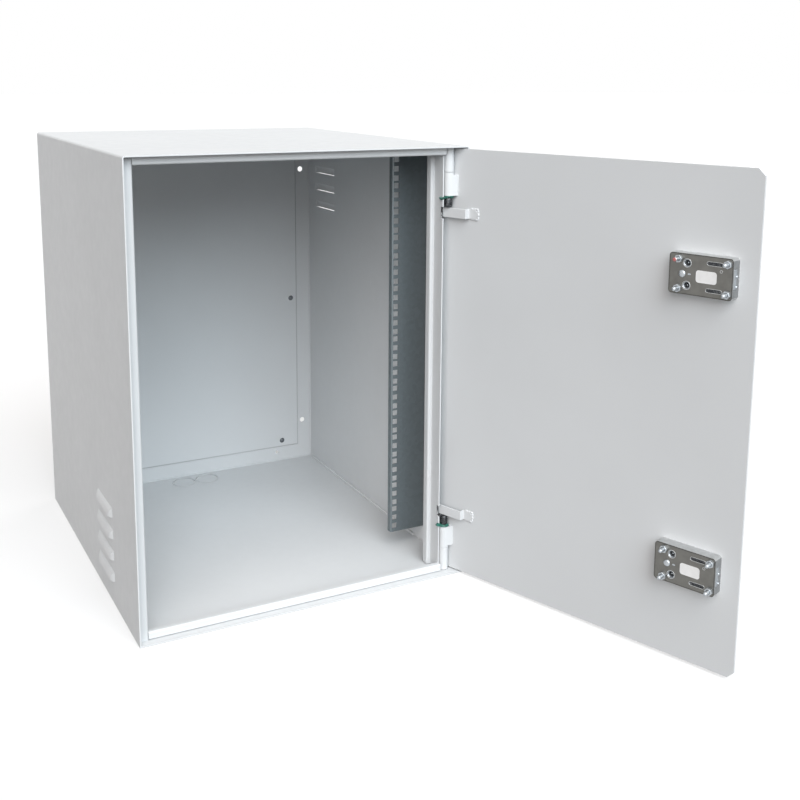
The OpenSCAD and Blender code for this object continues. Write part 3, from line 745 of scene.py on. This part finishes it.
def makeRims(end):
    place, case = lockFrame(end)
    bm = bmesh.new()
    x, y, r = lockHoles["service"]
    ring = flatRing(r + rimShape["wide"], rimShape["wide"], rimShape["tall"])
    addCopies(bm, ring, [onFace(place, x, side * y) for side in (1, -1)])
    x, y, length, width = lockHoles["slot"]
    line = slotRim(length, width, rimShape["slotWide"], rimShape["tall"])
    addCopies(bm, line, [onFace(place, case["long"] - x, side * y) for side in (1, -1)])
    x, y, r = lockHoles["dimple"]
    addCopies(bm, flatRing(r, rimShape["dimpleWide"], rimShape["dimpleTall"]), [onFace(place, x, y)])
    keepPiece(end + "_lock_rims", bm, "door", [finishes["lock_zinc"]])


# painted shade: dark plates set behind the slots so they read as shaded openings
slotShadeShape = {"thick": 1.0 * mm, "below": 2.2 * mm, "round": 0.45}  # round is a share of the slot's width


def makeSlotShades(end):
    place, case = lockFrame(end)
    x, y, length, width = lockHoles["slot"]
    bm = bmesh.new()
    slotShadePlate = middlePlate(length, width, width * slotShadeShape["round"], slotShadeShape["thick"])
    x, below = case["long"] - x, slotShadeShape["below"]
    addCopies(bm, slotShadePlate, [onFace(place, x, side * y, -below) for side in (-1, 1)])
    keepPiece(end + "_lock_slot_shades", bm, "door", [finishes["dark_steel"]])


# painted shade: a thin dark frame round the lock's face stands for the shaded gap between its cover plate and
# the case's walls
gapShadeShape = {"in": 0.5 * mm, "round": 3.5 * mm, "wide": 0.9 * mm, "tall": 0.04 * mm, "lift": 0.01 * mm}


def makeGapShade(end):
    place, case = lockFrame(end)
    margin, half = gapShadeShape["in"], case["tall"] / 2
    low, high = (margin, margin - half), (case["long"] - margin, half - margin)
    bm = rimFrame(low, high, gapShadeShape["round"], gapShadeShape["wide"], gapShadeShape["tall"])
    bmesh.ops.transform(bm, matrix=onFace(place, 0, 0, gapShadeShape["lift"]), verts=bm.verts)
    keepPiece(end + "_lock_gap_shade", bm, "door", [lockGapShade])


# bright small parts: rivet, dash, bushes and posts in the service holes, rivets in the free end
brightShape = {
    "rivet": (20 * mm, 0.0, 5.0 * mm, 2.0 * mm),  # x, y, radius, height
    "dash": (31 * mm, 0.5 * mm, 4.5 * mm, 2.0 * mm),  # x, y, length, width
    "dashRound": 0.9 * mm, "dashThick": 0.5 * mm,
    "bush": (5.4 * mm, 4.0 * mm, 0.9 * mm),  # outer radius, bore, depth below the face
    "bushEdge": (0.4 * mm, 0.3 * mm), "bushDish": 0.5 * mm,  # width and rise of its edge, dip of its bore
    "post": 1.5 * mm, "postBelow": 3.0 * mm, "postRound": 0.7,
    "endRivets": (3.5 * mm, -10.5 * mm), "endRivetBehind": 11 * mm,  # their y, and how far behind the face
    "endRivetR": 1.9 * mm, "endRivetTall": 1.3 * mm,
}


def makeBush(deep):
    outer, inner, sunk = brightShape["bush"]
    edgeIn, edgeUp = brightShape["bushEdge"]
    face = deep - sunk
    return turned([(inner, 0), (outer, 0), (outer, face), (outer - edgeIn, face + edgeUp),
                   (inner, face - brightShape["bushDish"]), (inner, 0)])


def makePost(deep):
    r, share = brightShape["post"], brightShape["postRound"]
    top = deep - brightShape["postBelow"]
    points = [(0, 0), (r, 0), (r, top - r), (r * share, top - r * (1 - share)), (0, top)]
    return turned(points, curveSteps["post"])


def makeBrightParts(end):
    place, case = lockFrame(end)
    bm = bmesh.new()
    x, y, r, height = brightShape["rivet"]
    addCopies(bm, domed(r, height), [onFace(place, x, y)])
    x, y, length, width = brightShape["dash"]
    dash = middlePlate(length, width, brightShape["dashRound"], brightShape["dashThick"])
    addCopies(bm, dash, [onFace(place, x, y)])
    x, y = lockHoles["service"][:2]
    feet = [onFace(place, x, side * y, -case["deep"]) for side in (1, -1)]
    addCopies(bm, makeBush(case["deep"]), feet)
    addCopies(bm, makePost(case["deep"]), feet)
    behind = brightShape["endRivetBehind"]
    spots = [place @ Vector((case["long"], y, -behind)) for y in brightShape["endRivets"]]
    endRivet = domed(brightShape["endRivetR"], brightShape["endRivetTall"])
    addCopies(bm, endRivet, [placeAlong(spot, alongDoor) for spot in spots])
    keepPiece(end + "_lock_bright_parts", bm, "door", [finishes["zinc"]])


# dab of lacquer on the end of one stud
dabShape = {"stud": 1, "radius": 2.7 * mm, "tall": 0.7 * mm}


def makeDab(end):
    place, case = lockFrame(end)
    x, y = studSpots(case["long"])[dabShape["stud"]]
    bm = domed(dabShape["radius"], dabShape["tall"])
    bmesh.ops.transform(bm, matrix=onFace(place, x, y, studShape["out"]), verts=bm.verts)
    keepPiece(end + "_lock_lacquer", bm, "door", [lacquerRed])


# bare sticker in the middle of the face
labelShape = {
    "low": (40.5 * mm, -9.5 * mm), "high": (71 * mm, 7.5 * mm), "round": 4.0 * mm, "thick": 0.15 * mm,
    "lift": 0.02 * mm,
}


def makeLabel(end):
    place = lockFrame(end)[0]
    bm = roundPlate(labelShape["low"], labelShape["high"], labelShape["round"], labelShape["thick"])
    bmesh.ops.transform(bm, matrix=onFace(place, 0, 0, labelShape["lift"]), verts=bm.verts)
    keepPiece(end + "_lock_label", bm, "door", [labelWhite])


for end in ("upper", "lower"):
    makeCase(end)
    makeStuds(end)
    makeNuts(end)
    makeRims(end)
    makeSlotShades(end)
    makeGapShade(end)
    makeBrightParts(end)
    if end == "upper":
        makeDab(end)
    makeLabel(end)
print("locks dressed")


# panel screws, rail studs and rail nuts: the solids with their edges broken by so many millimetres
fastenerEdges = {"back_panel_screws": 0.3, "rail_studs": 0.4, "rail_nuts": 0.5}
for node, edge in fastenerEdges.items():
    dressNode(node, edge * mm)


# pressed rims round the cable knockouts in the floor
floorThick = 2 * mm
knockoutRim = {
    "apart": 49 * mm, "fromRear": 36 * mm, "radius": 24.1 * mm, "wide": 2.0 * mm, "rise": 0.8 * mm,
    "steps": 64,
}


def makeKnockoutRims():
    low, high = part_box("floor_sheet")
    y, z = high.y - knockoutRim["fromRear"], low.z + floorThick
    places = [Matrix.Translation((side * knockoutRim["apart"] / 2, y, z)) for side in (-1, 1)]
    bm = bmesh.new()
    ring = flatRing(knockoutRim["radius"], knockoutRim["wide"], knockoutRim["rise"], knockoutRim["steps"])
    addCopies(bm, ring, places)
    keepPiece("knockout_rims", bm, "cabinet", [coatSheet])


makeKnockoutRims()
print("fasteners and knockout rims dressed")


# weld bead along a straight seam: ripples and slow swells are shares of its radius, and so are its ends
beadShape = {
    "sides": 10, "step": 1.1 * mm, "end": 0.35, "fewest": 4,
    "ripple": 0.16, "rippleTurn": 2.4, "swell": 0.10, "swellTurn": 0.23, "swellStart": 1.3,
}


def weldBead(bm, start, stop, radius, ripple=0.0, swell=0.0, step=beadShape["step"]):
    start, stop = Vector(start), Vector(stop)
    length = (stop - start).length
    count = max(beadShape["fewest"], int(length / step))
    size = radius * beadShape["end"]
    bead = bmesh.new()
    bmesh.ops.create_circle(bead, cap_ends=True, radius=size, segments=beadShape["sides"])
    face = bead.faces[:][0]
    for i in range(1, count + 1):
        face = bmesh.ops.extrude_discrete_faces(bead, faces=[face])["faces"][0]
        wave = 1 + ripple * math.sin(i * beadShape["rippleTurn"])
        wave += swell * math.sin(i * beadShape["swellTurn"] + beadShape["swellStart"])
        target = radius * (wave if i < count else beadShape["end"])
        bmesh.ops.translate(bead, vec=(0, 0, length / count), verts=face.verts)
        middle = Matrix.Translation(-face.calc_center_median())
        bmesh.ops.scale(bead, vec=(target / size, target / size, 1), space=middle, verts=face.verts)
        size = target
    bmesh.ops.recalc_face_normals(bead, faces=bead.faces)
    addCopies(bm, bead, [placeAlong(start, stop - start)])


# beads inside the body: between the floor and the walls, and in the folds of the rear flange
bodyWelds = {
    "floor": 2.6 * mm, "floorIn": 1.4 * mm, "behindRail": 8 * mm, "beforeFlange": 14 * mm,
    "calmer": 0.6, "lumpier": 1.5,  # the floor's ripples and swells against the plain bead's
    "fold": 1.8 * mm, "foldIn": 1.0 * mm, "foldStep": 30 * mm, "foldPast": 20 * mm,
}


def makeBodyWelds():
    floorLow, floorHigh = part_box("floor_sheet")
    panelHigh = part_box("back_panel")[1]
    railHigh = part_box("right_rail")[1]
    wallX, floorTop, flangeY = floorHigh.x, floorLow.z + floorThick, panelHigh.y
    seamX, seamZ = wallX - bodyWelds["floorIn"], floorTop + bodyWelds["floorIn"]
    seamFront, seamRear = railHigh.y + bodyWelds["behindRail"], flangeY - bodyWelds["beforeFlange"]
    foldX, foldY = wallX - bodyWelds["foldIn"], flangeY - bodyWelds["foldIn"]
    foldZ, foldTop = floorTop + bodyWelds["foldIn"], panelHigh.z + bodyWelds["foldPast"]
    ripple, swell = beadShape["ripple"] * bodyWelds["calmer"], beadShape["swell"] * bodyWelds["lumpier"]
    fold = {"radius": bodyWelds["fold"], "step": bodyWelds["foldStep"]}
    bm = bmesh.new()
    for side in (-1, 1):
        weldBead(bm, (side * seamX, seamFront, seamZ), (side * seamX, seamRear, seamZ), bodyWelds["floor"],
                 ripple, swell)
        weldBead(bm, (side * foldX, foldY, foldZ), (side * foldX, foldY, foldTop), **fold)
    weldBead(bm, (-foldX, foldY, foldZ), (foldX, foldY, foldZ), **fold)
    keepPiece("body_welds", bm, "cabinet", [coatSheet])


# welds on the door: lumps round the keepers' feet, and a bead down the edge of each knuckle's leaf
doorWelds = {
    "lump": 1.7 * mm, "lumpStep": 1.7 * mm, "lumpOut": 0.6 * mm, "footLong": 15 * mm,
    "lumpWaves": ((0.30, 2.1, 0.0), (0.16, 5.3, 1.0)),  # share of its size, turn for each lump, start
    "lumpStretch": (0.75, 1.1, 1.0),
    "leaf": 1.0 * mm, "leafOut": 0.3 * mm, "leafShort": 5 * mm,
}


def weldLumps(bm, points):
    turn = doorPlace.to_3x3().to_4x4()
    lump = bmesh.new()
    bmesh.ops.create_icosphere(lump, subdivisions=2, radius=doorWelds["lump"])
    places = []
    for i, point in enumerate(points):
        size = 1 + sum(share * math.sin(i * pace + start) for share, pace, start in doorWelds["lumpWaves"])
        stretch = Matrix.Diagonal((*(size * share for share in doorWelds["lumpStretch"]), 1))
        places.append(Matrix.Translation(point) @ turn @ stretch)
    addCopies(bm, lump, places)


def makeDoorWelds():
    bm = bmesh.new()
    step = doorWelds["lumpStep"]
    for end in ("upper", "lower"):
        low, high = boxIn(end + "_pin_keeper", doorPlace)
        along = int(doorWelds["footLong"] / step)
        down = int((high.z - low.z) / step)
        spots = [(high.y - step * (along - i), high.z) for i in range(along)]
        spots += [(high.y, high.z - step * i) for i in range(down)]
        spots += [(high.y - step * i, low.z) for i in range(along)]
        weldLumps(bm, [doorPlace @ Vector((low.x + doorWelds["lumpOut"], y, z)) for y, z in spots])
        low, high = boxIn(end + "_door_knuckle", doorPlace)
        x, short = low.x + doorWelds["leafOut"], doorWelds["leafShort"]
        foot, head = (doorPlace @ Vector((x, high.y, z)) for z in (low.z + short, high.z - short))
        weldBead(bm, foot, head, doorWelds["leaf"], beadShape["ripple"], beadShape["swell"])
    keepPiece("door_welds", bm, "door", [coatSheet])


makeBodyWelds()
makeDoorWelds()
print("welds laid")


# white studio: the camera and reflections see white all round, while the lamps, a faint sky and what
# the floor throws back light the cabinet
light = {
    "sky": 0.07, "floor": 0.86, "floorLift": 0.45, "floorBounce": 0.15, "floorSize": 40, "floorGap": 0.2 * mm,
}
lamps = {
    "soft_key": {"from": (0.0, -0.82, 0.57), "strength": 3.0, "spread": 50, "colour": (0.83, 0.93, 1.0)},
    "soft_top": {"from": (0.0, -0.5, 0.87), "strength": 1.42, "spread": 50, "colour": (1.0, 0.90, 0.83)},
    "soft_left": {"from": (-0.62, -0.67, 0.42), "strength": 1.95, "spread": 50, "colour": (1.0, 0.955, 0.94)},
    "soft_right": {"from": (0.87, 0.46, 0.16), "strength": 2.1, "spread": 45, "colour": (1.0, 1.0, 1.0)},
}


def grey(level):
    return (level, level, level, 1)


def backgroundRays(tree):
    # 1 for rays that see the background from the camera, in a reflection or through glass
    path = addNode(tree, "ShaderNodeLightPath")
    either = path.outputs["Is Camera Ray"]
    for name in ("Is Glossy Ray", "Is Transmission Ray"):
        larger = addNode(tree, "ShaderNodeMath", operation="MAXIMUM")
        tree.links.new(either, larger.inputs[0])
        tree.links.new(path.outputs[name], larger.inputs[1])
        either = larger.outputs[0]
    return either


def mixShaders(tree, first, second, factor=None):
    mix = addNode(tree, "ShaderNodeMixShader")
    tree.links.new(first.outputs[0], mix.inputs[1])
    tree.links.new(second.outputs[0], mix.inputs[2])
    if factor is None:
        tree.links.new(backgroundRays(tree), mix.inputs[0])
    else:
        mix.inputs[0].default_value = factor
    return mix


def makeSky():
    world = bpy.data.worlds.new("studio")
    bpy.context.scene.world = world
    world.use_nodes = True
    tree = world.node_tree
    tree.nodes.clear()
    sky = addNode(tree, "ShaderNodeBackground", {"Color": grey(1), "Strength": light["sky"]})
    white = addNode(tree, "ShaderNodeBackground", {"Color": grey(1), "Strength": 1.0})
    out = addNode(tree, "ShaderNodeOutputWorld")
    tree.links.new(mixShaders(tree, sky, white).outputs[0], out.inputs["Surface"])


def makeFloorPaper():
    mat = bpy.data.materials.new("studio_floor")
    mat.use_nodes = True
    tree = mat.node_tree
    tree.nodes.clear()
    bounce = addNode(tree, "ShaderNodeBsdfDiffuse", {"Color": grey(light["floorBounce"])})
    paper = addNode(tree, "ShaderNodeBsdfDiffuse", {"Color": grey(light["floor"])})
    glow = addNode(tree, "ShaderNodeEmission", {"Color": grey(1), "Strength": 1.0})
    lifted = mixShaders(tree, paper, glow, light["floorLift"])
    out = addNode(tree, "ShaderNodeOutputMaterial")
    tree.links.new(mixShaders(tree, bounce, lifted).outputs[0], out.inputs["Surface"])
    return mat


def makeFloor():
    bm = bmesh.new()
    bmesh.ops.create_grid(bm, x_segments=1, y_segments=1, size=light["floorSize"])
    bmesh.ops.translate(bm, vec=(0, 0, cadBox[0].z - light["floorGap"]), verts=bm.verts)
    mesh = bpy.data.meshes.new("studio_floor")
    bm.to_mesh(mesh)
    bm.free()
    mesh.materials.append(makeFloorPaper())
    floor = bpy.data.objects.new("studio_floor", mesh)
    bpy.context.scene.collection.objects.link(floor)


def makeLamps():
    for name, lamp in lamps.items():
        sun = bpy.data.lights.new(name, "SUN")
        sun.energy = lamp["strength"]
        sun.color = lamp["colour"]
        sun.angle = math.radians(lamp["spread"])
        holder = bpy.data.objects.new(name, sun)
        holder.rotation_euler = Vector(lamp["from"]).to_track_quat("Z", "Y").to_euler()
        bpy.context.scene.collection.objects.link(holder)


# camera: yaw is turned from +Y towards +X, all three angles in degrees
shot = {
    "place": (-0.6413, -1.8176, 0.8410), "yaw": 28.031, "pitch": -9.945, "roll": 0.411,
    "lens": 48.96, "sensor": 36, "shiftY": -0.169,
}


def makeCamera():
    yaw, pitch, roll = (math.radians(shot[k]) for k in ("yaw", "pitch", "roll"))
    ahead = Vector((math.sin(yaw) * math.cos(pitch), math.cos(yaw) * math.cos(pitch), math.sin(pitch)))
    side = Vector((math.cos(yaw), -math.sin(yaw), 0))
    over = side.cross(ahead)
    right = side * math.cos(roll) + over * math.sin(roll)
    top = over * math.cos(roll) - side * math.sin(roll)
    data = bpy.data.cameras.new("view")
    data.sensor_width = shot["sensor"]
    data.lens = shot["lens"]
    data.shift_y = shot["shiftY"]
    camera = bpy.data.objects.new("view", data)
    turn = Matrix((right, top, -ahead)).transposed().to_4x4()
    camera.matrix_world = Matrix.Translation(shot["place"]) @ turn
    bpy.context.scene.collection.objects.link(camera)
    bpy.context.scene.camera = camera


makeSky()
makeFloor()
makeLamps()
makeCamera()
bpy.context.scene.view_settings.view_transform = "Standard"
print("studio set")
